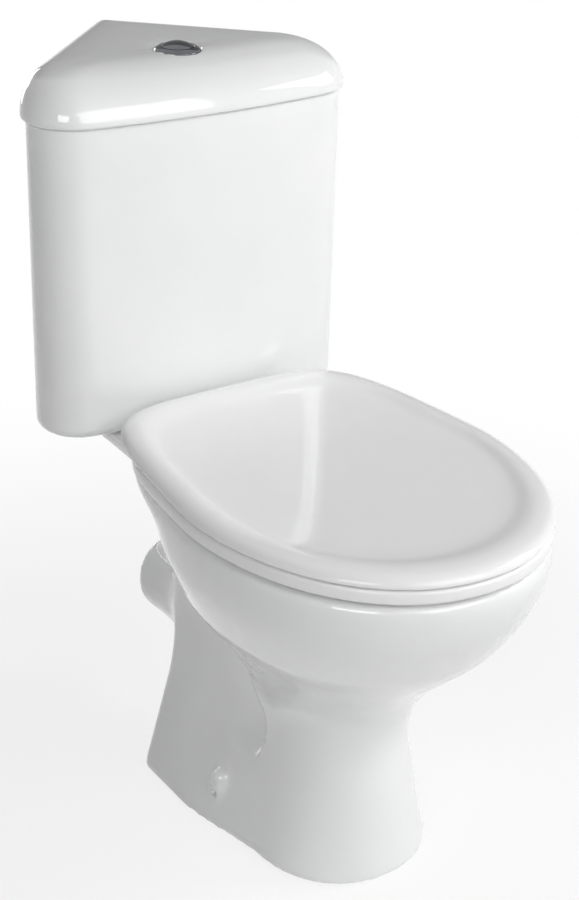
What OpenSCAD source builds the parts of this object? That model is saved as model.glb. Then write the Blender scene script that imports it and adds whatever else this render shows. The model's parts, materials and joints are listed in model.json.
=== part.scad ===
// Close-coupled corner toilet: pan, three-sided cistern, seat with cover,
// and the flush and filling gear inside the cistern.
// Millimetres, +Z up, front of the bowl towards -Y, mirror plane X = 0.

/* [Pan] */
// Height of the rim above the floor
rim_h = 391; // [388:1:400]
// Half the width of the rim
rim_hw = 175; // [168:1:178]
// Reach of the rim in front of the bowl centre
rim_front = 223; // [212:1:226]
// Reach of the rear deck behind the bowl centre
deck_rear = 213; // [210:1:215]
// Height of the narrowest part of the pedestal
waist_h = 140; // [120:1:150]
// Half the width of the pedestal at its waist
waist_hw = 69; // [62:1:80]
// Reach of the pedestal at its waist in front of the bowl centre
waist_front = 84; // [76:1:100]
// Half the width of the foot beside the bowl centre
foot_hw = 96; // [88:1:106]
// Reach of the foot in front of the bowl centre
foot_front = 104; // [96:1:125]
// Half the width of the foot at its rear corners
foot_rear_hw = 118; // [106:1:120]
// Reach of the pedestal behind the bowl centre
foot_rear = 207; // [190:1:215]
// Half the width of the flat side panel over the trap
panel_hw = 65; // [60:1:72]
// Depth of the hollow scooped out of each side behind the pedestal front
scoop_depth = 18; // [8:1:20]
// Thickness of the fired clay walls
clay_wall = 11; // [9:1:13]
// Half the width of the bowl's opening inside the rim
bowl_hw = 126; // [110:1:132]
// Reach of the bowl's opening in front of the bowl centre
bowl_front = 176; // [160:1:182]
// Reach of the bowl's opening behind the bowl centre
bowl_rear = 118; // [100:1:126]
// Height of the sump's floor
sump_h = 76; // [70:1:90]

/* [Outlet] */
// Outside diameter of the outlet spigot
outlet_d = 102; // [100:1:110]
// Wall of the outlet spigot
outlet_wall = 9; // [7:0.5:12]
// Length of the spigot's plain end, over which a pipe connector goes
outlet_free = 68; // [55:1:68]
// Height of the outlet's axis
outlet_h = 158; // [150:1:165]
// Reach of the outlet's end behind the bowl centre
outlet_rear = 315; // [300:1:330]
// Inside diameter of the trap
trap_d = 66; // [56:1:70]

/* [Cistern platform] */
// Depth of the platform that carries the cistern below the rim
shelf_drop = 14; // [7:1:29]
// Half the width of the platform
shelf_hw = 110; // [98:1:114]
// Reach of the platform behind the bowl centre
shelf_rear = 354; // [344:1:364]
// Thickness of the platform
shelf_t = 18; // [14:1:22]
// Diameter of the flush inlet in the platform
inlet_d = 56; // [48:1:60]
// Diameter of the recess around the flush inlet
inlet_seat_d = 92; // [88:1:94]
// Depth of the recess around the flush inlet
inlet_seat_h = 13; // [10:1:14]
// Gap that the coupling washer keeps between platform and cistern
coupling_gap = 4; // [3:0.5:8]

/* [Cistern] */
// Half the distance between the sharp wing corners of the cover
wing_hw = 237; // [228:0.1:241]
// Bow of the cistern front over its whole width
front_bow = 25.5; // [15:0.5:34]
// Radius of the wing corners in plan
wing_r = 51; // [36:1:60]
// Radius of the rear corner in plan
rear_r = 20; // [12:1:26]
// Overhang of the cover beyond the cistern walls
cover_over = 6; // [4:0.5:8]
// Wall of the cistern
tank_wall = 9; // [8:0.5:11]
// Height of the cistern walls
tank_h = 327; // [300:1:350]
// Radius of the cistern's bottom edge
tank_r = 12; // [6:1:16]
// Height of the cover's side edge
cover_edge_h = 38; // [32:1:44]
// Crown of the cover above its side edge
cover_crown = 11; // [7:1:14]
// Depth of the cover's locating ridge inside the cistern
cover_ridge = 6; // [4:1:10]
// Gap from the front of the cistern cover to the seat's rear edge
seat_gap = 4.8; // [4.8:0.1:20]

/* [Seat] */
// Overhang of the seat beyond the sides of the rim
seat_over = 1; // [0:0.5:8]
// Overhang of the seat beyond the front of the rim
seat_front_over = 3; // [0:0.5:10]
// Overhang of the seat cover beyond the rear deck of the pan
seat_rear_over = 15; // [13:0.5:17]
// Thickness of the seat ring
ring_t = 15; // [13:0.5:16]
// Height of the ring's buffers, which keep it off the rim
buffer_h = 4; // [3.6:0.2:5]
// Half the width of the hole in the ring
hole_hw = 108; // [95:1:118]
// Length of the hole in the ring
hole_len = 285; // [260:1:300]
// Height of the seat cover's raised border
border_h = 12; // [11.5:0.5:14]
// Depth of the dish inside the border
dish = 5.5; // [3:0.5:7]
// Skin of the seat cover
cover_skin = 4; // [3.6:0.2:4.2]
// Largest gap between the ring and the cover's edge
seat_split = 0.8; // [0.6:0.1:1.4]

/* [Hinges] */
// Distance between the two hinge fixings
hinge_pitch = 155; // [140:1:175]
// Distance from the cover's rear edge to the hinge axis
hinge_in = 16; // [15:0.5:17]
// Distance from the hinge axis forward to the hinge fixings
hinge_reach = 17; // [16:0.5:19]
// Height of the hinge axis above the rim
hinge_up = 13.5; // [13:0.5:14]
// Diameter of the hinge pins
pin_d = 7; // [6:0.5:8]
// Radial clearance of the pins in the lugs
pin_fit = 0.05; // [0.02:0.01:0.09]
// Outside diameter of the hinge knuckles
knuckle_d = 14; // [12:0.5:15]
// Diameter of the hinge fixing studs
stud_d = 8; // [6:0.5:9]
// Diameter of the fixing holes in the pan
fixing_hole_d = 16; // [14:0.5:18]

/* [Flush button] */
// Diameter of the button's surround
bezel_d = 48; // [44:1:54]
// Diameter of the hole in the cistern cover
button_hole_d = 38; // [34:1:40]
// Height of the buttons' dome above the cover
button_dome = 7; // [5:0.5:10]
// Travel of the buttons
button_travel = 6; // [4:0.5:7]

/* [Fittings] */
// Height of the flush valve's seat above the cistern floor
valve_seat_h = 14; // [10:1:18]
// Diameter of the flush valve's cage
cage_d = 78; // [70:1:84]
// Height of the flush valve's cage
cage_h = 150; // [120:1:170]
// Lift of the flush valve
valve_lift = 18; // [12:1:22]
// Gap between the platform and the filling valve's nut
fill_gap = 3; // [2:0.5:6]
// Travel of the float
float_travel = 60; // [40:1:80]
// Distance between the two coupling bolts
coupling_pitch = 150; // [140:1:160]
// Diameter of the coupling bolts
coupling_bolt_d = 8; // [6:0.5:9]
// Diameter of the screw holes in the foot
foot_hole_d = 9; // [7:0.5:10]
// Distance of the foot's screw holes behind the bowl centre
foot_hole_y = 72; // [64:1:80]
// Height of the foot's screw holes
foot_hole_h = 34; // [30:1:38]

/* [Hidden] */

CUT = 1;            // how far a cut runs past the face it opens
ROUND = 48;         // steps of a fitting's circle
RING_STEPS = 64;    // points around a lofted outline

// Places along Y are counted from the bowl centre and moved to the box's middle at the end.
seat_y = 4;                                   // widest place of the seat
seat_hw = rim_hw + seat_over;                 // half the width of the seat
seat_front = rim_front + seat_y + seat_front_over;
seat_rear = deck_rear - seat_y + seat_rear_over;
front_y = seat_y - seat_front;                // front of the whole object
cover_rear_y = seat_y + seat_rear;            // rear edge of the seat cover
tank_y = cover_rear_y + seat_gap;             // front of the cistern cover
corner_y = tank_y + wing_hw + front_bow;      // sharp corner of the room
rear_y = corner_y - rear_r * (sqrt(2) - 1);   // rounded rear corner of the cover
mid_y = (front_y + rear_y) / 2;

hinge_y = cover_rear_y - hinge_in;
post_y = hinge_y - hinge_reach;
hinge_z = rim_h + hinge_up;
shelf_h = rim_h - shelf_drop;                 // height of the platform that carries the cistern
ring_z = rim_h + buffer_h;
cover_z = ring_z + ring_t + seat_split;
tank_z = shelf_h + coupling_gap;
tank_top_z = tank_z + tank_h;
tank_floor_z = tank_z + tank_wall;
crown_z = tank_top_z + cover_edge_h + cover_crown;
valve_y = tank_y + 80.2;                      // axis of the flush valve and of the buttons

// ---- Curves and lofts -------------------------------------------------------

function mix(a, b, t) = a + (b - a) * t;
function unit(t) = min(1, max(0, t));
function ease(t) = let (u = unit(t)) u * u * (3 - 2 * u);
function bow(t, n) = pow(max(0, 1 - pow(unit(t), n)), 1 / n);

// Smooth curve through knots [[x, value], ...]
function knot(k, x, i = 0) = (i >= len(k) - 2 || x < k[i + 1][0]) ? i : knot(k, x, i + 1);
function slope(k, i) = let (lo = max(i - 1, 0), hi = min(i + 1, len(k) - 1))
    (k[hi][1] - k[lo][1]) / (k[hi][0] - k[lo][0]);
function curve(k, x) = let (
    i = knot(k, x),
    h = k[i + 1][0] - k[i][0],
    t = unit((x - k[i][0]) / h))
    mix(k[i][1], k[i + 1][1], t * t * (3 - 2 * t))
    + h * t * (1 - t) * (slope(k, i) * (1 - t) - slope(k, i + 1) * t);

// Right-hand half of an outline, from front to rear, mirrored into a whole one
function whole(half) = concat(half, [for (i = [len(half) - 2 : -1 : 1]) [-half[i][0], half[i][1]]]);
function at_height(plan, z) = [for (p = plan) [p[0], p[1], z]];
function total(v, i = 0) = i == len(v) - 1 ? v[i] : v[i] + total(v, i + 1);
function middle(ring) = total(ring) / len(ring);

function band(n, low, high) = [for (j = [0 : n - 1]) let (k = (j + 1) % n)
    each [[low + j, high + j, high + k], [low + j, high + k, low + k]]];

// Closed skin over a stack of equal rings, capped at both ends
module loft(rings) {
    n = len(rings[0]);
    last = len(rings) - 1;
    foot = n * len(rings);
    polyhedron(
        points = concat([for (r = rings) each r], [middle(rings[0]), middle(rings[last])]),
        faces = concat(
            [for (i = [0 : last - 1]) each band(n, i * n, (i + 1) * n)],
            [for (j = [0 : n - 1]) [foot, j, (j + 1) % n]],
            [for (j = [0 : n - 1]) [foot + 1, last * n + (j + 1) % n, last * n + j]]));
}

// The same with the last ring joined to the first
module loop_loft(rings) {
    n = len(rings[0]);
    m = len(rings);
    polyhedron(
        points = [for (r = rings) each r],
        faces = [for (i = [0 : m - 1]) each band(n, i * n, ((i + 1) % m) * n)]);
}

module both_sides(x, y = 0, z = 0) {
    for (s = [-1, 1]) translate([s * x, y, z]) children();
}
module tube(outer_d, inner_d, h) {
    difference() {
        cylinder(d = outer_d, h = h, $fn = ROUND);
        translate([0, 0, -CUT]) cylinder(d = inner_d, h = h + 2 * CUT, $fn = ROUND);
    }
}
module along_x(length) {
    translate([-length / 2, 0, 0]) rotate([0, 90, 0]) children();
}

// ---- Pan --------------------------------------------------------------------

// Bowl outside, below the rim: drop, tuck of the sides, tuck of the front
bowl_tucks = [[0, 0, 0], [21, 0, 0], [51, 5, 8], [91, 23, 30], [111, 34, 45],
    [141, 58, 75], [171, 81, 104]];
// Bowl inside, below the rim: drop, tuck of the sides, of the front and of the rear
hollow_tucks = [[3, 0, 0, 0], [25, 0, 0, 0], [34, -12, -10, -12], [46, -20, -18, -22], [66, -14, -8, -20],
    [96, 0, 8, -12], [136, 26, 44, 6], [176, 58, 84, 22], [211, 79, 120, 38], [251, 88, 142, 54],
    [291, 96, 154, 70]];
// Edge under the bowl where its flare meets the side: drop, place behind the bowl centre
crease = [[129, 232], [147, 222], [159, 202], [172, 181], [181, 160], [188, 140], [192, 122], [196, 100],
    [201, 80], [209, 62], [221, 50], [237, 34], [256, 26], [274, 25], [286, 29], [rim_h, 29]];
ridge_y = 105;                     // upright ridge in the side panel
panel_top_h = rim_h - 206;         // here the panel stops flaring out to the foot
neck_h = rim_h - 129;              // the neck under the platform starts here
tongue_hw = 48;                    // half the width of the flush horn under the platform
mid_end_y = 178;                   // side stations end here
edge_w = 7;                        // width of the step into the hollow in the side
seat_taper = 0.12;                 // how fast seat and rim narrow towards the rear

side_knots = concat(
    [for (s = [1, 0.75, 0.5, 0.25]) [waist_h * (1 - s), waist_hw + (foot_hw - waist_hw) * pow(s, 1.35)]],
    [[waist_h, waist_hw], [waist_h + 40, waist_hw + 6]],
    [for (i = [len(bowl_tucks) - 1 : -1 : 0]) [rim_h - bowl_tucks[i][0], rim_hw - bowl_tucks[i][1]]]);
front_knots = concat(
    [for (s = [1, 0.75, 0.5, 0.25])
        [waist_h * (1 - s), waist_front + (foot_front - waist_front) * pow(s, 1.1)]],
    [[waist_h, waist_front], [waist_h + 40, waist_front + 7]],
    [for (i = [len(bowl_tucks) - 1 : -1 : 0]) [rim_h - bowl_tucks[i][0], rim_front - bowl_tucks[i][2]]]);
crease_knots = [for (i = [len(crease) - 1 : -1 : 0]) [rim_h - crease[i][0], crease[i][1]]];
neck_knots = [[neck_h, panel_hw], [neck_h + 17, panel_hw + 12], [neck_h + 54, panel_hw + 27],
    [neck_h + 88, shelf_hw - 9], [shelf_h, shelf_hw - 6]];
// Where the neck's sides turn in to the horn, and where the body ends behind
turn_knots = [[neck_h, 236], [neck_h + 32, 228], [neck_h + 61, 240], [neck_h + 86, 256],
    [neck_h + 96, 276], [shelf_h, 305]];
tail_knots = [[0, foot_rear], [90, foot_rear], [118, foot_rear], [150, foot_rear + 10],
    [165, foot_rear + 24], [178, foot_rear + 32], [neck_h, foot_rear + 33],
    [neck_h + 28, foot_rear + 38], [neck_h + 38, foot_rear + 56],
    [neck_h + 50, foot_rear + 106], [neck_h + 60, shelf_rear - 8], [shelf_h, shelf_rear - 3]];

function flare(z, top, power) = pow(unit((top - z) / top), power);
function panel_w(y, z) = let (
    rear_w = panel_hw + (foot_rear_hw - panel_hw) * flare(z, panel_top_h, 1.2),
    ridge_w = panel_hw + (foot_rear_hw - panel_hw) * flare(z, panel_top_h - 67, 1.2))
    mix(ridge_w, rear_w, ease((y - ridge_y) / (mid_end_y - ridge_y)));
function scoop(z) = ease((z - 84) / 30) * (1 - ease((z - 155) / 40));

// Pedestal's side between the bowl centre and the ridge
function pedestal_w(y, z) = let (
    a = curve(side_knots, z),
    edge_y = curve(crease_knots, z),
    plain = mix(a, panel_w(ridge_y, z), y / ridge_y),
    deep = panel_w(ridge_y, z) - scoop_depth,
    scooped = y < edge_y ? a - 1
        : y < edge_y + edge_w ? mix(a - 1, deep, ease((y - edge_y) / edge_w))
        : mix(deep, panel_w(ridge_y, z), ease((y - edge_y - edge_w) / (ridge_y - edge_y - edge_w))))
    y > ridge_y ? panel_w(y, z) : mix(plain, scooped, scoop(z));
function flare_w(y, z) = let (
    a = curve(side_knots, z),
    t = unit(y / curve(crease_knots, z)))
    panel_w(y, z) + (a - panel_w(y, z)) * (1 - t * t);
function neck_w(y, z) = let (
    a = curve(side_knots, z),
    w = curve(neck_knots, z),
    t = unit(y / 232))
    w + (a - w) * pow(1 - t * t, mix(1, 1.9, unit((z - neck_h) / 40)));
function deck_w(y, z) = (curve(side_knots, z) - seat_taper * y) * bow(y / deck_rear, 4);
function deck_share(z) = ease((z - shelf_h + 25) / 35);
function side_w(y, z) = z < neck_h
    ? mix(pedestal_w(y, z), flare_w(y, z), ease((z - panel_top_h + 20) / 25))
    : mix(neck_w(y, z), deck_w(y, z), deck_share(z));

// Body behind the last side station
function tail_w(y, z, w, end_y, on_shelf, inset) = let (
    turn_y = curve(turn_knots, z),
    side = neck_w(y, z) + max(0, deck_w(y, z) - neck_w(y, z)) * deck_share(z) - inset,
    kept = on_shelf ? shelf_hw - inset
        : z < neck_h ? w
        : mix(side, min(side, tongue_hw), ease((y - turn_y) / 26)))
    kept * bow((y - mid_end_y) / (end_y - mid_end_y),
        mix(mix(3.6, 5, unit(z / 120)), 7, ease((end_y - 225) / 60)));

FRONT_STEPS = 14;
EDGE_STEPS = 5;
PANEL_STEPS = 6;
TAIL_STEPS = 9;

// Side stations follow the edge under the bowl, so that it stays crisp
function station_edge(z) = mix(min(curve(crease_knots, z), 158), 110, ease((z - neck_h + 10) / 50));
function stations(z) = let (e = station_edge(z)) concat(
    [for (i = [1 : EDGE_STEPS]) e * i / EDGE_STEPS],
    [e + edge_w / 2, e + edge_w],
    [for (i = [1 : PANEL_STEPS]) mix(e + edge_w, mid_end_y, i / PANEL_STEPS)]);

// Outline of the body at one height; the inset is the tail's alone where the platform is
function body_ring(z, inset = 0, deck = false, on_shelf = false) = let (
    front_inset = on_shelf ? 0 : inset,
    a = curve(side_knots, z) - front_inset,
    b = curve(front_knots, z) - front_inset,
    end_y = (deck ? deck_rear : on_shelf ? shelf_rear : curve(tail_knots, z)) - inset,
    mid_w = side_w(mid_end_y, z) - inset)
    at_height(whole(concat(
        [for (i = [0 : FRONT_STEPS]) let (q = 90 * i / FRONT_STEPS)
            [a * pow(sin(q), 2 / 2.15), -b * pow(cos(q), 2 / 2.15)]],
        [for (y = stations(z)) [side_w(y, z) - front_inset, y]],
        [for (i = [1 : TAIL_STEPS]) let (y = mix(mid_end_y, end_y, sin(90 * i / TAIL_STEPS)))
            [i == TAIL_STEPS ? 0
                : deck ? max(0, deck_w(y + inset, z) - inset)
                : tail_w(y, z, mid_w, end_y, on_shelf, inset), y]])), z);

// Outline of the bowl's hollow, with the same number of points
HALF_STEPS = FRONT_STEPS + EDGE_STEPS + 2 + PANEL_STEPS + TAIL_STEPS;
function hollow_curve(drop, column) = curve([for (k = hollow_tucks) [k[0], k[column]]], drop);
function bowl_ring(drop, grow = 0) = let (
    a = bowl_hw - hollow_curve(drop, 1) + grow,
    f = bowl_front - hollow_curve(drop, 2) + grow,
    r = bowl_rear - hollow_curve(drop, 3) + grow)
    at_height(whole([for (i = [0 : HALF_STEPS]) let (q = 180 * i / HALF_STEPS)
        [i == HALF_STEPS ? 0 : a * sin(q), (cos(q) > 0 ? -f : -r) * cos(q)]]), rim_h - drop);

foot_levels = [0, 3, 14, 28, 42, 56, 68, 78, 88, 97, 106, 115, 125, 137, 150, 162];
bowl_levels = [217, 208, 201, 195, 190, 185, 179, 172, 163, 153, 142, 129, 116, 102, 89, 77, 65, 54, 43];
hollow_levels = [3, 25, 34, 46, 66, 88, 112, 136, 160, 184, 208, 236, 262, 291];
cavity_h = sump_h - clay_wall - 4;
deck_lift = 0.6;
rim_edge = 5;

function pan_rings() = concat(
    [body_ring(cavity_h, clay_wall + 14), body_ring(cavity_h - 10, clay_wall + 1), body_ring(0, clay_wall)],
    [for (z = foot_levels) body_ring(z, z == 0 ? 2.5 : z == 3 ? 0.6 : 0)],
    [for (d = bowl_levels) if (rim_h - d < shelf_h - shelf_t) body_ring(rim_h - d)],
    [body_ring(shelf_h - shelf_t - deck_lift)],
    [for (s = [[0, 3], [0.2, 0.6], [0.4, 0], [0.85, 0], [1, 3]])
        body_ring(shelf_h - shelf_t * (1 - s[0]), s[1], on_shelf = true)],
    [for (s = [[deck_lift, 0], [rim_h - shelf_h - 5, 0], [rim_h - shelf_h - 1.5, 1.5]])
        body_ring(shelf_h + s[0], s[1], deck = true)],
    [body_ring(rim_h, rim_edge, deck = true), at_height(bowl_ring(3, 3), rim_h)],
    [for (d = hollow_levels) bowl_ring(d)],
    [at_height(bowl_ring(291, -12), sump_h)]);

// Waterway from the sump over the weir to the outlet: places [y, z] of its centre line
trap_path = [[22, 108], [66, 115], [106, 141], [139, 177], [164, 202], [187, 206], [208, 191],
    [228, 168], [247, outlet_h], [270, outlet_h]];
// Flushing water's way from the platform to the groove under the rim: places [y, z]
feed_path = [[valve_y, shelf_h - 10], [valve_y - 2, shelf_h - 26], [valve_y - 14, shelf_h - 42],
    [valve_y - 38, shelf_h - 50], [valve_y - 80, shelf_h - 50], [valve_y - 130, shelf_h - 42],
    [bowl_rear + 10, shelf_h - 34]];
feed_r = 20;
root_step = 3;                     // how much thicker the spigot is at its root

// Round passage along a path in the mirror plane
module passage(path, r, r_start) {
    n = len(path) - 1;
    loft([for (i = [n : -1 : 0]) let (
        p = path[max(i - 1, 0)],
        q = path[min(i + 1, n)],
        a = atan2(q[1] - p[1], q[0] - p[0]),
        rad = i == 0 ? r_start : r)
        [for (k = [0 : 15]) let (u = rad * cos(360 * k / 16), v = rad * sin(360 * k / 16))
            [u, path[i][0] - v * sin(a), path[i][1] + v * cos(a)]]]);
}

boss_r = 12;
boss_x = 90;
boss_top = 46;
// Pocket under the rear deck, which makes room for the nut of a hinge stud
pocket_x = 60;
pocket_w = 30;
pocket_low_z = shelf_h - 37;

// Where the pedestal narrows to the spigot: sections from inside the pedestal to the plain end
root_y = foot_rear - 11;
module spigot_root() {
    root_len = outlet_rear - outlet_free - root_y;
    loft([for (i = [6 : -1 : 0]) let (
        s = pow(1 - i / 6, 2),
        p = 2 / (2 + s),
        r = (outlet_d + root_step) / 2)
        [for (k = [0 : 31]) let (u = cos(360 * k / 32), v = sin(360 * k / 32))
            [sign(u) * pow(abs(u), p) * (r + 14 * s), root_y + root_len * i / 6,
                outlet_h + sign(v) * pow(abs(v), p) * (r + (v > 0 ? 8 : 34) * s)]]]);
}

module foot_boss() {
    translate([0, foot_hole_y, 2]) cylinder(r = boss_r, h = boss_top, $fn = ROUND);
    translate([0, foot_hole_y, boss_top + 2]) sphere(r = boss_r, $fn = ROUND);
}

module pan() {
    color([0.93, 0.93, 0.92]) difference() {
        union() {
            loft(pan_rings());
            translate([0, outlet_rear, outlet_h]) rotate([90, 0, 0])
                cylinder(d = outlet_d, h = outlet_free + 20, $fn = 64);
            spigot_root();
            both_sides(boss_x) foot_boss();
        }
        passage(trap_path, trap_d / 2, trap_d / 2);
        translate([0, outlet_rear + CUT, outlet_h]) rotate([90, 0, 0])
            cylinder(d = outlet_d - 2 * outlet_wall, h = outlet_rear - 258 + CUT, $fn = 64);
        passage(feed_path, feed_r, inlet_d / 2 - 2);
        translate([0, valve_y, shelf_h - shelf_t - 6])
            cylinder(d = inlet_d, h = shelf_t + 6 + CUT, $fn = ROUND);
        translate([0, valve_y, shelf_h - inlet_seat_h])
            cylinder(d = inlet_seat_d, h = inlet_seat_h + CUT, $fn = ROUND);
        both_sides(coupling_pitch / 2, valve_y, shelf_h - shelf_t - CUT)
            cylinder(d = coupling_bolt_d + 4, h = shelf_t + 2 * CUT, $fn = ROUND);
        both_sides(hinge_pitch / 2, post_y, shelf_h - CUT)
            cylinder(d = fixing_hole_d, h = rim_h - shelf_h + 2 * CUT, $fn = ROUND);
        for (x = [pocket_x, -pocket_x - pocket_w]) translate([x, post_y - 14, pocket_low_z]) {
            cube([pocket_w, 28, shelf_h - pocket_low_z]);
            cube([pocket_w, shelf_rear - post_y - 10, shelf_h - shelf_t - pocket_low_z]);
        }
        both_sides(boss_x, foot_hole_y, foot_hole_h) along_x(5 * boss_r)
            cylinder(d = foot_hole_d, h = 5 * boss_r, $fn = ROUND);
    }
}

// ---- Cistern ----------------------------------------------------------------

// Three-sided outline: bowed front, two walls at 45 degrees, rounded corners
ARC_STEPS = 10;
WING_STEPS = 9;
APEX_STEPS = 4;
wall_y = corner_y - wing_hw;
front_r = (wing_hw * wing_hw + front_bow * front_bow) / (2 * front_bow);
front_cy = wall_y - front_bow + front_r;

function arc(x, y, r, from, to, n, skip = 0) =
    [for (i = [skip : n]) let (q = mix(from, to, i / n)) [x + r * cos(q), y + r * sin(q)]];
function corner_ring(z, front_inset, wall_inset, share = 1) = let (
    r = max(wing_r - share * max(front_inset, wall_inset), 6),
    ra = max(rear_r - wall_inset, 3),
    fr = front_r - front_inset,
    apex = corner_y - wall_inset * sqrt(2),
    k = apex - r * sqrt(2),
    b = k - front_cy,
    x = (2 * b + sqrt(4 * b * b - 8 * (b * b - (fr - r) * (fr - r)))) / 4,
    y = k - x,
    a0 = atan2(y - front_cy, x))
    at_height(whole(concat(
        arc(0, front_cy, fr, -90, a0, ARC_STEPS),
        arc(x, y, r, a0, 45, WING_STEPS, 1),
        arc(0, apex - ra * sqrt(2), ra, 45, 90, APEX_STEPS))), z);
function even_ring(z, inset) = corner_ring(z, inset, inset);

fill_d = 21;                       // inlet tail of the filling valve
fill_tail = 23;                    // length of the inlet tail
fill_shank_d = 22;                 // shank above it, which goes through the cistern's floor
fill_nut_d = 32;
fill_x = shelf_hw + fill_gap + fill_nut_d / 2;
fill_y = valve_y - 16;
valve_hole_d = 62;
wall_hole_x = 128;                 // place of the wall screw holes
wall_hole_d = 8;
wall_hole_z = tank_top_z - 62;
inner_r = 8;                       // radius between the cistern's floor and walls

function tank_rings() = concat(
    [for (i = [0 : 4]) let (q = 90 * i / 4)
        even_ring(tank_z + tank_r * (1 - cos(q)), cover_over + tank_r * (1 - sin(q)))],
    [even_ring(tank_top_z - 1, cover_over), even_ring(tank_top_z, cover_over + 1)],
    [even_ring(tank_top_z, cover_over + tank_wall)],
    [for (i = [0 : 3]) let (q = 90 * i / 3)
        even_ring(tank_floor_z + inner_r * (1 - sin(q)), cover_over + tank_wall + inner_r * (1 - cos(q)))]);

module cistern() {
    color([0.94, 0.94, 0.93]) difference() {
        loft(tank_rings());
        translate([0, valve_y, tank_z - CUT])
            cylinder(d = valve_hole_d, h = tank_wall + 2 * CUT, $fn = ROUND);
        both_sides(coupling_pitch / 2, valve_y, tank_z - CUT)
            cylinder(d = coupling_bolt_d + 3, h = tank_wall + 2 * CUT, $fn = ROUND);
        translate([fill_x, fill_y, tank_z - CUT])
            cylinder(d = fill_shank_d + 3, h = tank_wall + 2 * CUT, $fn = ROUND);
        for (s = [-1, 1]) translate([s * wall_hole_x, corner_y - wall_hole_x, wall_hole_z])
            rotate([0, 0, s * 45]) rotate([0, 90 * s, 0]) translate([0, 0, -2 * tank_wall - cover_over])
                cylinder(d = wall_hole_d, h = 3 * tank_wall, $fn = ROUND);
    }
}

// Cover outside: height above the cistern's top edge, front inset, wall inset
cover_edge = [[0, 2, 2], [3, 0, 0], [12, 2, 0.4], [22, 8, 1.6], [31, 18, 4], [38, 30, 7.5], [43, 42, 13],
    [46.5, 52, 21], [48.2, 60, 35], [49, 70, 52]];
wing_share = 0.5;                  // how fast the cover's wing corners sharpen with its inset
cover_lip = 17;                    // inset of the locating ridge
cover_scale = (cover_edge_h + cover_crown) / 49;

module cistern_cover() {
    color([0.94, 0.94, 0.93]) difference() {
        loft(concat(
            [even_ring(tank_top_z + 33, 70), even_ring(tank_top_z + 30, 36), even_ring(tank_top_z + 22, 24),
                even_ring(tank_top_z - cover_ridge, 22), even_ring(tank_top_z - cover_ridge, cover_lip),
                even_ring(tank_top_z, cover_lip)],
            [for (e = cover_edge) corner_ring(tank_top_z + e[0] * cover_scale, e[1], e[2], wing_share)]));
        translate([0, valve_y, tank_top_z]) cylinder(d = button_hole_d, h = 60, $fn = ROUND);
        translate([0, valve_y, surround_z]) cylinder(d = bezel_d + 2, h = 10, $fn = 64);
    }
}

// ---- Flush button -----------------------------------------------------------

surround_z = crown_z - 3;          // seat of the surround in the cover
button_d = 34;
button_gap = 0.6;                  // gap between the two halves
button_fit = 0.3;                  // radial gap between button and surround
button_split = 3;                  // the split lies this far behind the button's axis
tail_z = tank_top_z + 16;          // lower end of the surround's tail
ledge_h = 3;                       // ledge at the foot of the tail, which keeps the button in
skirt_z = crown_z - 22;            // lower end of the buttons' skirt
rod_d = 6;
rod_y = 12;                        // place of each push rod beside the button's axis
rod_gap = 1;                       // what a pressed rod keeps from the valve's cage
cage_z = tank_floor_z + valve_seat_h;
cage_top_z = cage_z + cage_h;

module at_valve(z) {
    translate([0, valve_y, z]) children();
}

module button_surround() {
    color([0.72, 0.73, 0.75]) at_valve(0) rotate_extrude($fn = 96) polygon([
        [button_d / 2 - 2, tail_z], [button_hole_d / 2 - 0.5, tail_z],
        [button_hole_d / 2 - 0.5, surround_z], [bezel_d / 2, surround_z],
        [bezel_d / 2, surround_z + 1.2], [bezel_d / 2 - 1.2, surround_z + 2.6],
        [bezel_d / 2 - 3, surround_z + 3.8], [button_d / 2 + 1.6, surround_z + 5],
        [button_d / 2 + 0.6, surround_z + 4.8], [button_d / 2, surround_z + 4],
        [button_d / 2, tail_z + ledge_h], [button_d / 2 - 2, tail_z + ledge_h]]);
}

module button_backnut() {
    color([0.9, 0.9, 0.88]) at_valve(tail_z + 1) tube(bezel_d, button_hole_d - 0.9, 9);
}

// Half of the domed button; side 1 is the part behind the split
module half_button(side) {
    r = button_d / 2 - button_fit;
    dome_r = (r * r + 25) / 10;
    low_y = side > 0 ? button_split + button_gap / 2 : -r - CUT;
    high_y = side > 0 ? r + CUT : button_split - button_gap / 2;
    at_valve(0) intersection() {
        rotate_extrude($fn = 96) polygon(concat(
            [[0, skirt_z], [r, skirt_z], [r, crown_z + button_dome - 5]],
            [for (i = [1 : 8]) let (x = r * (1 - i / 8))
                [x, crown_z + button_dome - dome_r + sqrt(dome_r * dome_r - x * x)]]));
        translate([-r - CUT, low_y, skirt_z - CUT]) cube([2 * r + 2 * CUT, high_y - low_y, 60]);
    }
}
module full_flush_button() {
    color([0.76, 0.77, 0.79]) half_button(-1);
}
module half_flush_button() {
    color([0.74, 0.75, 0.77]) half_button(1);
}
module push_rod(y) {
    low_z = cage_top_z + rod_gap + button_travel;
    at_valve(low_z) translate([0, y, 0]) cylinder(d = rod_d, h = skirt_z - low_z, $fn = ROUND);
}
module full_push_rod() {
    color([0.9, 0.35, 0.15]) push_rod(-rod_y);
}
module half_push_rod() {
    color([0.2, 0.45, 0.75]) push_rod(rod_y);
}

// ---- Flush valve ------------------------------------------------------------

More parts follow.
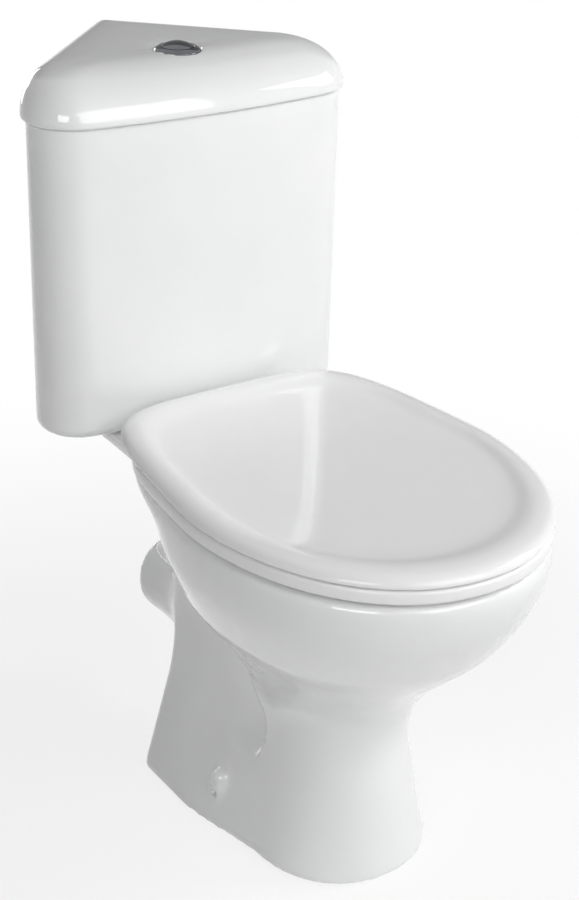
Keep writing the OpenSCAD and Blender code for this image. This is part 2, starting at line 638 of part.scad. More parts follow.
valve_tail_d = 58;
valve_tail_z = shelf_h - 11;
valve_bore_d = 50;
valve_flange_d = 96;
soft_gap = 0.3;                    // what a seal keeps from its neighbours
pipe_d = 26;                       // overflow pipe
pipe_y = cage_d / 2 + pipe_d / 2 + 6;  // its place behind the valve's axis
pipe_top_z = tank_top_z - 46;
pipe_low_z = tank_floor_z + 9;
cage_wall = 3;
cage_cap_h = 9;                    // top plate of the cage, which guides the plunger's stem
stem_d = 12;
stem_fit = 0.1;
plunger_seal_h = 3;
plunger_plate_h = 4;
backnut_d = 80;
flange_low_z = tank_floor_z + 3;   // the valve's flange stands on its seal ring
flange_h = 4;

module valve_base() {
    color([0.92, 0.92, 0.9]) at_valve(0) difference() {
        union() {
            translate([0, 0, valve_tail_z])
                cylinder(d = valve_tail_d, h = cage_z - valve_tail_z, $fn = ROUND);
            translate([0, 0, flange_low_z]) cylinder(d = valve_flange_d, h = flange_h, $fn = 64);
            translate([0, 0, flange_low_z + flange_h])
                cylinder(d = cage_d, h = cage_z - flange_low_z - flange_h, $fn = 64);
            translate([-8, valve_bore_d / 2 + 4, flange_low_z]) cube([16, pipe_y - valve_bore_d / 2 - 4, 8]);
            translate([0, pipe_y, flange_low_z]) cylinder(d = pipe_d + 8, h = 22, $fn = ROUND);
        }
        translate([0, 0, valve_tail_z - CUT])
            cylinder(d = valve_bore_d, h = cage_z - valve_tail_z + 2 * CUT, $fn = ROUND);
        translate([0, pipe_y, pipe_low_z]) cylinder(d = pipe_d, h = 30, $fn = ROUND);
        translate([0, pipe_y, pipe_low_z - 3]) cylinder(d = pipe_d - 4, h = 30, $fn = ROUND);
        translate([-4, valve_bore_d / 2 - 2, pipe_low_z - 3]) cube([8, pipe_y - valve_bore_d / 2, 3]);
    }
}
module valve_seal_ring() {
    color([0.12, 0.12, 0.12]) at_valve(tank_floor_z + soft_gap)
        tube(valve_flange_d - 4, valve_tail_d + 2 * soft_gap, 3 - 2 * soft_gap);
}
module valve_backnut() {
    color([0.9, 0.9, 0.88]) at_valve(tank_z - 12) tube(backnut_d, valve_tail_d, 11.5);
}
module coupling_washer() {
    color([0.16, 0.16, 0.16]) at_valve(shelf_h - inlet_seat_h + soft_gap)
        tube(inlet_seat_d - 2 * soft_gap, backnut_d + 2 * soft_gap,
            inlet_seat_h + coupling_gap - 2 * soft_gap);
}
module valve_cage() {
    color([0.93, 0.93, 0.93]) at_valve(0) difference() {
        union() {
            translate([0, 0, cage_z]) cylinder(d = cage_d, h = cage_h - 4, $fn = 64);
            translate([0, 0, cage_top_z - 4]) cylinder(d = cage_d - 8, h = 4, $fn = 64);
        }
        translate([0, 0, cage_z - CUT])
            cylinder(d = cage_d - 2 * cage_wall, h = cage_h - cage_cap_h + CUT, $fn = 64);
        for (a = [45, 135]) rotate([0, 0, a]) translate([-cage_d, -14, cage_z + 4])
            cube([2 * cage_d, 28, 34]);
        translate([0, 0, cage_top_z - cage_cap_h - CUT])
            cylinder(d = stem_d + 2 * stem_fit, h = cage_cap_h + 2 * CUT, $fn = ROUND);
    }
}
module valve_plunger() {
    drum_low = 30;
    stem_h = cage_h - plunger_seal_h - plunger_plate_h - 2;
    color([0.85, 0.85, 0.86]) at_valve(cage_z + plunger_seal_h) {
        cylinder(d = valve_bore_d + 12, h = plunger_plate_h, $fn = ROUND);
        translate([0, 0, plunger_plate_h]) cylinder(d = stem_d, h = stem_h, $fn = ROUND);
        translate([0, 0, drum_low]) cylinder(d = cage_d - 2 * cage_wall - 12,
            h = cage_h - cage_cap_h - plunger_seal_h - valve_lift - 6 - drum_low, $fn = ROUND);
    }
}
module plunger_seal() {
    color([0.12, 0.12, 0.12]) at_valve(cage_z + soft_gap)
        tube(valve_bore_d + 14, valve_bore_d - 4, plunger_seal_h - 2 * soft_gap);
}
module overflow_pipe() {
    color([0.93, 0.93, 0.93]) at_valve(pipe_low_z) translate([0, pipe_y, 0])
        tube(pipe_d, pipe_d - 4, pipe_top_z - pipe_low_z);
}

// ---- Coupling bolts ---------------------------------------------------------

shelf_low_z = shelf_h - shelf_t;
module coupling_bolts() {
    color([0.75, 0.75, 0.76]) both_sides(coupling_pitch / 2, valve_y) {
        translate([0, 0, shelf_low_z - 20])
            cylinder(d = coupling_bolt_d, h = tank_floor_z - shelf_low_z + 24, $fn = ROUND);
        translate([0, 0, tank_floor_z + 3]) cylinder(d = 2.1 * coupling_bolt_d, h = 5, $fn = ROUND);
    }
}
module coupling_washers() {
    color([0.12, 0.12, 0.12]) both_sides(coupling_pitch / 2, valve_y)
        for (z = [tank_floor_z + soft_gap, shelf_low_z - 3 + soft_gap])
            translate([0, 0, z]) tube(22, coupling_bolt_d + 2 * soft_gap, 3 - 2 * soft_gap);
}
module coupling_nuts() {
    color([0.75, 0.75, 0.76]) both_sides(coupling_pitch / 2, valve_y, shelf_low_z - 13) difference() {
        union() {
            cylinder(d = 18, h = 10, $fn = ROUND);
            translate([-17, -1.5, 0]) cube([34, 3, 7]);
        }
        translate([0, 0, -CUT]) cylinder(d = coupling_bolt_d, h = 12, $fn = ROUND);
    }
}

// ---- Filling valve ----------------------------------------------------------

fill_body_d = 24;
fill_tail_z = tank_z - 34;
fill_head_z = tank_top_z - 66;
float_d = 58;
float_h = 54;
float_z = fill_head_z - float_h - 14;
guide_x = 26;
arm_z = fill_head_z + 6;             // underside of the arm over the guide rod
stop_h = 4;                        // collar on which the float ends its way down

module at_fill(z) {
    translate([fill_x, fill_y, z]) children();
}
module fill_stem() {
    color([0.93, 0.93, 0.93]) difference() {
        union() {
            at_fill(fill_tail_z) cylinder(d = fill_d, h = fill_tail + CUT, $fn = ROUND);
            at_fill(fill_tail_z + fill_tail)
                cylinder(d = fill_shank_d, h = tank_floor_z + 4 - fill_tail_z - fill_tail, $fn = ROUND);
            at_fill(tank_floor_z + 3) cylinder(d = 36, h = 6, $fn = ROUND);
            at_fill(tank_floor_z + 9)
                cylinder(d = fill_body_d, h = fill_head_z - tank_floor_z - 9, $fn = ROUND);
            at_fill(float_z - float_travel - stop_h - soft_gap)
                cylinder(d = fill_body_d + 10, h = stop_h, $fn = ROUND);
        }
        at_fill(fill_tail_z - CUT)
            cylinder(d = fill_d - 8, h = fill_head_z - fill_tail_z + 2 * CUT, $fn = ROUND);
    }
}
module fill_washer() {
    color([0.12, 0.12, 0.12]) at_fill(tank_floor_z + soft_gap)
        tube(34, fill_shank_d + 2 * soft_gap, 3 - 2 * soft_gap);
}
module fill_backnut() {
    color([0.93, 0.93, 0.93]) at_fill(tank_z - 10) tube(fill_nut_d, fill_shank_d, 9.7);
}
module fill_head() {
    color([0.85, 0.85, 0.87]) difference() {
        union() {
            at_fill(fill_head_z) cylinder(d = 44, h = 26, $fn = ROUND);
            at_fill(fill_head_z + 26) cylinder(d = 34, h = 8, $fn = ROUND);
            at_fill(arm_z) translate([-guide_x - 8, -5, 0]) cube([guide_x, 10, 5]);
        }
        at_fill(fill_head_z - CUT) cylinder(d = fill_d - 8, h = 16, $fn = ROUND);
    }
}
module fill_float() {
    color([0.9, 0.9, 0.86]) at_fill(float_z) difference() {
        cylinder(d = float_d, h = float_h, $fn = 64);
        translate([0, 0, -CUT]) cylinder(d = fill_body_d + 2, h = float_h + 2 * CUT, $fn = ROUND);
    }
}
module fill_guide_rod() {
    color([0.8, 0.8, 0.8]) at_fill(float_z + float_h) translate([-guide_x, 0, 0])
        cylinder(d = 4, h = arm_z - soft_gap - float_z - float_h, $fn = 24);
}

// ---- Seat -------------------------------------------------------------------

SEAT_POWER = 2.1;
REAR_POWER = 5;
seat_steps = RING_STEPS / 2;

// Half outline: rounder in front, squarer behind; the rear reach differs for ring and cover
function seat_half(inset, rear, power, shorter = 0) = concat(
    [for (i = [0 : seat_steps / 2]) let (q = 180 * i / seat_steps, e = 2 / SEAT_POWER)
        [(seat_hw - inset) * pow(sin(q), e), seat_y - (seat_front - inset - shorter) * pow(cos(q), e)]],
    [for (i = [1 : seat_steps / 2]) let (
        q = 180 * i / seat_steps,
        y = (rear - inset - shorter) * pow(sin(q), 2 / power))
        [i == seat_steps / 2 ? 0 : (seat_hw - inset - seat_taper * y) * pow(cos(q), 2 / power), seat_y + y]]);
function cover_ring(z, inset, shorter = 0) =
    at_height(whole(seat_half(inset, seat_rear, REAR_POWER, shorter)), z);
function ring_outer(z, inset) = at_height(whole(seat_half(inset, ring_rear, 6)), z);
function ring_hole(z, grow) = at_height(whole([for (i = [0 : seat_steps]) let (q = 180 * i / seat_steps)
    [i == seat_steps ? 0 : (hole_hw + grow) * sin(q), hole_y - (hole_len / 2 + grow) * cos(q)]]), z);

ring_rear = post_y - 14 - seat_y;
hole_y = -32;
ring_top_z = ring_z + ring_t;
border_z = cover_z + border_h;

module knuckle(x, w) {
    translate([x + w / 2, hinge_y, hinge_z]) along_x(w) cylinder(d = knuckle_d, h = w, $fn = ROUND);
}
module pin_bore(x, w) {
    translate([x + w / 2, hinge_y, hinge_z]) along_x(w) cylinder(d = pin_d + 2 * pin_fit, h = w, $fn = ROUND);
}

ring_lug_x = hinge_pitch / 2 - 25.5;
post_x = hinge_pitch / 2 - 7.5;
cover_lug_x = hinge_pitch / 2 + 9.5;
lug_w = 16;
post_w = 15;

module seat_ring() {
    color([0.95, 0.95, 0.95]) difference() {
        union() {
            loop_loft([
                ring_outer(ring_z, 3), ring_outer(ring_z + 2, 0.7), ring_outer(ring_z + 4, 0),
                ring_outer(ring_top_z - 4.5, 0), ring_outer(ring_top_z - 1.8, 0.7),
                ring_outer(ring_top_z, 3.5),
                ring_hole(ring_top_z, 5), ring_hole(ring_top_z - 2.6, 1), ring_hole(ring_top_z - 7, 0),
                ring_hole(ring_z + 2, 0.6), ring_hole(ring_z, 3)]);
            for (x = [ring_lug_x, -ring_lug_x - lug_w]) {
                knuckle(x, lug_w);
                translate([x, ring_rear - 10, ring_z + 2.5])
                    cube([lug_w, hinge_y - ring_rear + 10, ring_t - 4]);
            }
        }
        for (x = [ring_lug_x - CUT, -ring_lug_x - lug_w - CUT]) pin_bore(x, lug_w + 2 * CUT);
    }
}

// Cover outside: height above its lower edge, inset, further inset in front and behind
cover_profile = [[0, 1.5, 0], [1.8, 0, 0], [4.6, 0.6, 0], [7.2, 2.6, 0], [9.3, 6, 0], [10.9, 10.5, 1],
    [11.8, 15, 3], [12, 18.5, 5], [11.3, 22.5, 8], [9.7, 26.5, 11], [8, 31, 13]];
dish_sag = 1;                      // how far the dish's middle sinks below its edge
dish_z = border_z - dish;
notch_top_z = hinge_z + knuckle_d / 2 + 1.5;

module seat_cover() {
    color([0.95, 0.95, 0.95]) difference() {
        union() {
            difference() {
                loft(concat(
                    [cover_ring(dish_z - cover_skin - 0.2, 90), cover_ring(dish_z - cover_skin, 24),
                        cover_ring(dish_z - cover_skin + 2, 17), cover_ring(dish_z - cover_skin + 2, 12),
                        cover_ring(cover_z + 4, 8.5), cover_ring(cover_z, 8)],
                    [for (c = cover_profile) cover_ring(cover_z + c[0] * border_h / 12, c[1], c[2])],
                    [cover_ring(dish_z, 42, 14), cover_ring(dish_z - dish_sag, 95, 14)]));
                for (x = [ring_lug_x - 1.5, -cover_lug_x - lug_w - 1.5])
                    translate([x, hinge_y - 20, cover_z - CUT])
                        cube([cover_lug_x + lug_w - ring_lug_x + 3, 60, notch_top_z - cover_z + CUT]);
            }
            for (x = [cover_lug_x, -cover_lug_x - lug_w]) {
                knuckle(x, lug_w);
                translate([x, hinge_y - 20, hinge_z - 2]) cube([lug_w, 20, dish_z - 1.5 - hinge_z + 2]);
            }
        }
        for (x = [cover_lug_x - CUT, -cover_lug_x - lug_w - CUT]) pin_bore(x, lug_w + 2 * CUT);
    }
}

buffer_d = 16;
ring_buffer_places = [[seat_hw - 58, -118], [seat_hw - 34, 108]];
cover_buffer_places = [[seat_hw - 66, -125], [seat_hw - 40, 122]];
module ring_buffers() {
    color([0.88, 0.88, 0.88]) for (p = ring_buffer_places)
        both_sides(p[0], p[1], rim_h + soft_gap) cylinder(d = buffer_d, h = buffer_h - soft_gap, $fn = ROUND);
}
module cover_buffers() {
    color([0.88, 0.88, 0.88]) for (p = cover_buffer_places)
        both_sides(p[0], p[1], ring_top_z + soft_gap)
            cylinder(d = buffer_d - 4, h = dish_z - cover_skin - 0.2 - ring_top_z - soft_gap, $fn = ROUND);
}

// ---- Seat hinges ------------------------------------------------------------

post_base_h = 4;
stud_low_z = shelf_h - 30;
module hinge_posts() {
    color([0.75, 0.76, 0.78]) difference() {
        union() {
            both_sides(hinge_pitch / 2, post_y) {
                translate([0, 0, rim_h]) cylinder(d = 22, h = post_base_h, $fn = ROUND);
                translate([-post_w / 2, -8, rim_h + 2]) cube([post_w, 14, 12]);
                translate([-post_w / 2, 0, hinge_z - 5]) cube([post_w, hinge_reach, 10]);
                translate([0, 0, stud_low_z]) cylinder(d = stud_d, h = rim_h + 1 - stud_low_z, $fn = ROUND);
            }
            for (x = [post_x, -post_x - post_w]) knuckle(x, post_w);
        }
        for (x = [post_x - CUT, -post_x - post_w - CUT]) pin_bore(x, post_w + 2 * CUT);
    }
}
module hinge_pins() {
    pin_x = ring_lug_x + 1;
    pin_w = cover_lug_x + lug_w - ring_lug_x - 2;
    color([0.8, 0.8, 0.82]) both_sides(pin_x + pin_w / 2, hinge_y, hinge_z) along_x(pin_w)
        cylinder(d = pin_d, h = pin_w, $fn = ROUND);
}
module hinge_washers() {
    color([0.15, 0.15, 0.15]) both_sides(hinge_pitch / 2, post_y, shelf_h - 3 + soft_gap)
        tube(24, stud_d + 2 * soft_gap, 3 - 2 * soft_gap);
}
module hinge_nuts() {
    color([0.9, 0.9, 0.88]) both_sides(hinge_pitch / 2, post_y, shelf_h - 16) tube(22, stud_d, 13);
}

// ---- Assembly ---------------------------------------------------------------

translate([0, -mid_y, 0]) pan();
translate([0, -mid_y, 0]) cistern();
translate([0, -mid_y, 0]) cistern_cover();
translate([0, -mid_y, 0]) seat_ring();
translate([0, -mid_y, 0]) seat_cover();
translate([0, -mid_y, 0]) ring_buffers();
translate([0, -mid_y, 0]) cover_buffers();
translate([0, -mid_y, 0]) hinge_posts();
translate([0, -mid_y, 0]) hinge_pins();
translate([0, -mid_y, 0]) hinge_washers();
translate([0, -mid_y, 0]) hinge_nuts();
translate([0, -mid_y, 0]) button_surround();
translate([0, -mid_y, 0]) button_backnut();
translate([0, -mid_y, 0]) full_flush_button();
translate([0, -mid_y, 0]) half_flush_button();
translate([0, -mid_y, 0]) full_push_rod();
translate([0, -mid_y, 0]) half_push_rod();
translate([0, -mid_y, 0]) valve_base();
translate([0, -mid_y, 0]) valve_seal_ring();
translate([0, -mid_y, 0]) valve_backnut();
translate([0, -mid_y, 0]) coupling_washer();
translate([0, -mid_y, 0]) valve_cage();
translate([0, -mid_y, 0]) valve_plunger();
translate([0, -mid_y, 0]) plunger_seal();
translate([0, -mid_y, 0]) overflow_pipe();
translate([0, -mid_y, 0]) coupling_bolts();
translate([0, -mid_y, 0]) coupling_washers();
translate([0, -mid_y, 0]) coupling_nuts();
translate([0, -mid_y, 0]) fill_stem();
translate([0, -mid_y, 0]) fill_washer();
translate([0, -mid_y, 0]) fill_backnut();
translate([0, -mid_y, 0]) fill_head();
translate([0, -mid_y, 0]) fill_float();
translate([0, -mid_y, 0]) fill_guide_rod();
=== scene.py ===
"""Looks of the close-coupled corner toilet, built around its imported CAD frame.

Metres, +Z up, the front of the bowl towards -Y, mirror plane X = 0.
"""
import json
import math

import bpy
import numpy as np
from mathutils import Matrix, Vector


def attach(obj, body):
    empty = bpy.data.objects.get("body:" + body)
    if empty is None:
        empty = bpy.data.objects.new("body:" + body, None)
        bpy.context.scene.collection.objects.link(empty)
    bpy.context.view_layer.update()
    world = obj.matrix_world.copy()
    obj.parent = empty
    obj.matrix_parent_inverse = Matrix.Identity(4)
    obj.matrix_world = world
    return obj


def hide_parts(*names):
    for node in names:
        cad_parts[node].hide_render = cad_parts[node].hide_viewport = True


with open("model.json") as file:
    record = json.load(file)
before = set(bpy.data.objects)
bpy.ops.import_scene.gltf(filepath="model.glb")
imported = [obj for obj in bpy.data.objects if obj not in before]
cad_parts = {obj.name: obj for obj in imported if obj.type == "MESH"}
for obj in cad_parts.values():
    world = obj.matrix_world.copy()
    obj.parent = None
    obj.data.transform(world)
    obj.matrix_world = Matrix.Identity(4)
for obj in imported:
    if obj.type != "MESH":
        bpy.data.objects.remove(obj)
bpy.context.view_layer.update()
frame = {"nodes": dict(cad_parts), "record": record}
nodes = frame["nodes"]
body_of = {n: b for b, ns in frame["record"]["behaviour"]["bodies"].items() for n in ns}
slot_of = {s["node"]: s["material_slot"] for s in frame["record"]["subparts"]}
MM = 0.001


# ---- Shader helpers ---------------------------------------------------------

COLOUR_A, COLOUR_B, COLOUR_OUT = 6, 7, 2   # sockets of a Mix node that mixes colours
LEVEL_A, LEVEL_B, LEVEL_OUT = 2, 3, 0      # sockets of a Mix node that mixes numbers
WIPE_SIZE = 0.35                           # size of a wipe mark, as a share of a patch's
WIPE_CONTRAST = (0.3, 0.7)                 # levels of noise with the lowest, highest roughness


def linear(colour):
    """An sRGB hex colour as the linear RGBA that a shader takes."""
    parts = [int(colour[i:i + 2], 16) / 255 for i in (1, 3, 5)]
    lit = tuple(c / 12.92 if c <= 0.04045 else ((c + 0.055) / 1.055) ** 2.4 for c in parts)
    return lit + (1.0,)


WHITE = linear("#FFFFFF")


def emptied(owner):
    """The node tree of a material or world, with nothing in it."""
    owner.use_nodes = True
    owner.node_tree.nodes.clear()
    return owner.node_tree


def add(tree, kind, inputs=None, **settings):
    """Adds a node. An input's value is a number, a colour or the output of another node."""
    made = tree.nodes.new(kind)
    for name, value in settings.items():
        setattr(made, name, value)
    for socket, value in (inputs or {}).items():
        if isinstance(value, bpy.types.NodeSocket):
            tree.links.new(value, made.inputs[socket])
        else:
            made.inputs[socket].default_value = value
    return made


def noise(tree, place, size_mm, detail):
    """Noise whose patches have a real size."""
    inputs = {"Vector": place, "Scale": 1 / (size_mm * MM), "Detail": detail}
    return add(tree, "ShaderNodeTexNoise", inputs).outputs["Fac"]


def ramp(tree, value, start, end, **settings):
    """Carries the range start to the range end; both are a pair of numbers."""
    inputs = {"Value": value, "From Min": start[0], "From Max": start[1],
              "To Min": end[0], "To Max": end[1]}
    return add(tree, "ShaderNodeMapRange", inputs, **settings).outputs["Result"]


def relief(tree, height, deep_mm, **below):
    """A bump of a real depth, on top of the normal given as Normal."""
    inputs = {"Height": height, "Strength": 1.0, "Distance": deep_mm * MM, **below}
    return add(tree, "ShaderNodeBump", inputs).outputs["Normal"]


# ---- Materials --------------------------------------------------------------

def surface(name, dark, light, patch_mm, rough, ripple_mm, ripple_deep_mm,
            grain_mm=None, grain_deep_mm=0.0, **shader):
    """A finish whose colour drifts between two tones, with a slow ripple and a fine grain.

    patch_mm, ripple_mm and grain_mm are the real sizes of each pattern. rough is the lowest
    and the highest roughness, which wipe marks vary.
    """
    material = bpy.data.materials.new(name)
    tree = emptied(material)
    place = add(tree, "ShaderNodeTexCoord").outputs["Object"]
    patches = noise(tree, place, patch_mm, 2.0)
    tone = add(tree, "ShaderNodeMix",
               {"Factor": patches, COLOUR_A: linear(dark), COLOUR_B: linear(light)},
               data_type="RGBA")
    roughness = ramp(tree, noise(tree, place, patch_mm * WIPE_SIZE, 4.0), WIPE_CONTRAST, rough)
    normal = relief(tree, noise(tree, place, ripple_mm, 1.0), ripple_deep_mm)
    if grain_mm:
        normal = relief(tree, noise(tree, place, grain_mm, 3.0), grain_deep_mm, Normal=normal)
    skin = add(tree, "ShaderNodeBsdfPrincipled",
               {"Base Color": tone.outputs[COLOUR_OUT], "Roughness": roughness,
                "Normal": normal, **shader})
    add(tree, "ShaderNodeOutputMaterial", {"Surface": skin.outputs["BSDF"]})
    return material


FINISHES = {
    # Vitreous china, fired with a thick clear glaze: cool white, mirror-like, with the
    # glaze's slow ripple.
    "china": surface(
        "glazed_vitreous_china", "#F1F2F3", "#F8F8F8", patch_mm=90, rough=(0.03, 0.075),
        ripple_mm=34, ripple_deep_mm=0.035, IOR=1.52,
        **{"Coat Weight": 0.35, "Coat Roughness": 0.02, "Coat IOR": 1.5}),
    # Pressed thermoset plastic, polished in its mould: a touch whiter, with no coat of glaze.
    "seat_plastic": surface(
        "polished_moulded_seat_plastic", "#F6F6F6", "#FBFBFB", patch_mm=70, rough=(0.02, 0.045),
        ripple_mm=60, ripple_deep_mm=0.01, grain_mm=3.0, grain_deep_mm=0.0006, IOR=1.5),
    # Soft vinyl buffers, moulded matt.
    "soft_white": surface(
        "soft_vinyl_buffer", "#DADAD8", "#E6E6E4", patch_mm=8, rough=(0.5, 0.65),
        ripple_mm=5, ripple_deep_mm=0.02, grain_mm=0.8, grain_deep_mm=0.01, IOR=1.5),
    # Stainless steel, brushed and dulled by cleaning.
    "hinge_metal": surface(
        "brushed_stainless_steel", "#A9ABAE", "#BDBFC2", patch_mm=12, rough=(0.22, 0.34),
        ripple_mm=6, ripple_deep_mm=0.01, grain_mm=0.5, grain_deep_mm=0.006,
        Metallic=1.0, Anisotropic=0.4),
    # Chromium plating on brass: a dark neutral mirror with faint wipe marks.
    "chrome_trim": surface(
        "polished_chromium_plate", "#5E5F62", "#77787B", patch_mm=20, rough=(0.02, 0.05),
        ripple_mm=14, ripple_deep_mm=0.01, Metallic=1.0),
    # Nylon nuts, moulded with a matt skin.
    "white_nylon": surface(
        "moulded_white_nylon", "#DEDDD6", "#E8E7E1", patch_mm=10, rough=(0.42, 0.55),
        ripple_mm=6, ripple_deep_mm=0.02, grain_mm=0.7, grain_deep_mm=0.01, IOR=1.53,
        **{"Subsurface Weight": 0.05, "Subsurface Scale": 0.002}),
    # ABS mouldings inside the cistern, with the satin skin of a plain steel mould.
    "valve_plastic": surface(
        "moulded_white_abs", "#E4E4E1", "#EEEEEC", patch_mm=18, rough=(0.28, 0.4),
        ripple_mm=10, ripple_deep_mm=0.02, grain_mm=1.0, grain_deep_mm=0.008, IOR=1.54),
    "full_rod": surface(
        "moulded_orange_abs", "#D9542A", "#E4633A", patch_mm=10, rough=(0.3, 0.4),
        ripple_mm=8, ripple_deep_mm=0.01, grain_mm=0.9, grain_deep_mm=0.008, IOR=1.54),
    "half_rod": surface(
        "moulded_blue_abs", "#3273B4", "#3D80C2", patch_mm=10, rough=(0.3, 0.4),
        ripple_mm=8, ripple_deep_mm=0.01, grain_mm=0.9, grain_deep_mm=0.008, IOR=1.54),
    # Nitrile rubber washers, cut from sheet.
    "black_rubber": surface(
        "black_nitrile_rubber", "#161616", "#222222", patch_mm=8, rough=(0.55, 0.75),
        ripple_mm=4, ripple_deep_mm=0.03, grain_mm=0.6, grain_deep_mm=0.02, IOR=1.52),
    # Zinc plated steel bolts, bright but clouded.
    "bolt_steel": surface(
        "zinc_plated_steel", "#9FA1A0", "#B9BAB6", patch_mm=5, rough=(0.28, 0.45),
        ripple_mm=4, ripple_deep_mm=0.01, grain_mm=0.6, grain_deep_mm=0.008, Metallic=1.0),
}


# ---- Modelling helpers ------------------------------------------------------

WELD = 0.005          # points of a CAD mesh closer than this are one point, in millimetres
BORE_SIDES = 40       # flats of a bored hole


def only(piece):
    """Leaves one object selected and active."""
    bpy.ops.object.select_all(action="DESELECT")
    piece.select_set(True)
    bpy.context.view_layer.objects.active = piece


def editing(piece, step):
    """Runs one edit-mode step on the whole of a mesh."""
    only(piece)
    bpy.ops.object.mode_set(mode="EDIT")
    bpy.ops.mesh.select_all(action="SELECT")
    step()
    bpy.ops.object.mode_set(mode="OBJECT")


def modify(piece, kind, **settings):
    """Adds one modifier and applies it."""
    only(piece)
    modifier = piece.modifiers.new(kind.title(), kind)
    for name, value in settings.items():
        setattr(modifier, name, value)
    bpy.ops.object.modifier_apply(modifier=modifier.name)


def merged_copy(node, name):
    """A copy of a CAD node with its loose triangles joined into one skin."""
    piece = bpy.data.objects.new(name, nodes[node].data.copy())
    bpy.context.scene.collection.objects.link(piece)
    editing(piece, lambda: bpy.ops.mesh.remove_doubles(threshold=WELD * MM))
    if piece.data.has_custom_normals:
        bpy.ops.mesh.customdata_custom_splitnormals_clear()
    return piece


def smooth(piece, degrees=None):
    """Shades a mesh smooth, apart from edges sharper than the angle where one is given."""
    only(piece)
    if degrees is None:
        bpy.ops.object.shade_smooth()
    else:
        bpy.ops.object.shade_smooth_by_angle(angle=math.radians(degrees))


def stands_for(piece, node):
    """The piece takes a CAD node's place, body and finish."""
    piece.data.materials.clear()
    piece.data.materials.append(FINISHES[slot_of[node]])
    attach(piece, body_of[node])
    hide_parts(node)


def bore(piece, middle, radius, length):
    """Cuts a round hole along X. Sizes in millimetres."""
    bpy.ops.object.select_all(action="DESELECT")
    bpy.ops.mesh.primitive_cylinder_add(
        vertices=BORE_SIDES, radius=radius * MM, depth=length * MM,
        location=[v * MM for v in middle], rotation=(0, math.radians(90), 0))
    drill = bpy.context.object
    modify(piece, "BOOLEAN", operation="DIFFERENCE", solver="EXACT", object=drill)
    bpy.data.objects.remove(drill)


# ---- Pan --------------------------------------------------------------------
# Places and sizes in millimetres. A pair for fade() is where a ramp is 0 and where it is 1.

PAN_TRIANGLES = 190000        # the most that the pan's skin may hold
PAN_VOXEL = 3.0               # width of the skin's faces, before the triangles are thinned out
SMOOTH_STEP = 0.5             # how far one pass of smoothing moves a point
WEIGHT_STEPS = 10             # steps between no smoothing and all of it

SCREW_HOLE = (90, -58.5, 34)  # middle of each screw hole in the foot
SCREW_RADIUS = 5.4
SCREW_BORE = 70               # length of the cut

# The edge under the bowl, which stays crisp at the sides: place along Y, height.
BOWL_EDGE = [(102, 262), (92, 244), (72, 232), (51, 219), (30, 210), (10, 203), (-8, 199),
             (-30, 195), (-50, 190), (-68, 182), (-80, 170), (-96, 154), (-104, 135),
             (-106, 117), (-102, 100)]
EDGE_BESIDE = 38              # the edge counts as crisp from this far beside the middle
EDGE_SOFTENS = (3, 14)        # distance from the edge at which smoothing grows
CRISP = 0.2                   # share of the smoothing at crisp places
# Holes and bosses: place along X at both sides, place along Y, radius, lowest, highest point.
CRISP_ROUNDS = [(90, -58.5, 26, 0, 70), (75, 182.5, 14, 340, 380), (77.5, 64.5, 20, 360, 392),
                (0, 182.5, 56, 355, 380)]
OUTLET_END = (178, 170)       # along Y, towards the outlet's open end
OUTLET_END_CRISP = 0.3        # share of the smoothing at that end
ABOVE_OUTLET = 240            # the outlet lies below this height
CASTING_PASSES = 20           # passes of smoothing that round the casting's edges

FLOW_OFF_EDGE = (5, 16)       # distance from the crisp edge at which a flow begins
NECK_ALONG = (30, 0)          # where the bowl flows into the foot: along Y, low end, high end
NECK_LOW = (95, 125)
NECK_HIGH = (250, 225)
CORNER_ALONG = (70, 90)       # the foot's rear corners: along Y, beside the middle, height
CORNER_BESIDE = (84, 96)
CORNER_HIGH = (90, 60)
NECK_PASSES = 70
OUTLET_FRONT = (70, 96)       # where the outlet flows into the foot: along Y, then in height
OUTLET_REAR = (172, 150)
OUTLET_LOW = (60, 90)
OUTLET_HIGH = (244, 226)
OUTLET_PASSES = 260

# Front of the hollow beside the foot's front: the lower part of the edge under the bowl.
HOLLOW_EDGE = [(-98, 92)] + BOWL_EDGE[:3:-1]
HOLLOW_DEEP = 10.0            # how much deeper the hollow gets than the solid's
HOLLOW_FALLS = (-1, 9)        # distance behind its front at which it falls away
HOLLOW_RUNS_OUT = (14, 62)    # and at which it runs out to the rear
HOLLOW_RUN_OUT_CURVE = 1.5
HOLLOW_LOW = (88, 112)
HOLLOW_HIGH = (214, 176)
HOLLOW_BESIDE = 12            # the hollow begins this far beside the middle
LAST_PASSES = 3               # passes of smoothing over the whole skin at the end


def distance_to_path(points, path):
    """Distance of each point to a path of straight stretches, all in one plane."""
    best = np.full(len(points), np.inf)
    for start, end in zip(np.array(path[:-1], float), np.array(path[1:], float)):
        run = end - start
        share = np.clip((points - start) @ run / (run @ run), 0, 1)
        gap = np.linalg.norm(points - start - share[:, None] * run, axis=1)
        best = np.minimum(best, gap)
    return best


def fade(value, start, end):
    """0 up to start, 1 from end on, and a straight ramp between them."""
    return np.clip((value - start) / (end - start), 0, 1)


def places_of(piece):
    """X, Y and Z of each point, in millimetres."""
    places = np.empty(len(piece.data.vertices) * 3, dtype=np.float32)
    piece.data.vertices.foreach_get("co", places)
    return (places.reshape(-1, 3) / MM).T


def off_bowl_edge(y, z):
    """Distance of each point to the crisp edge under the bowl, seen from the side."""
    return distance_to_path(np.stack([y, z], 1), BOWL_EDGE)


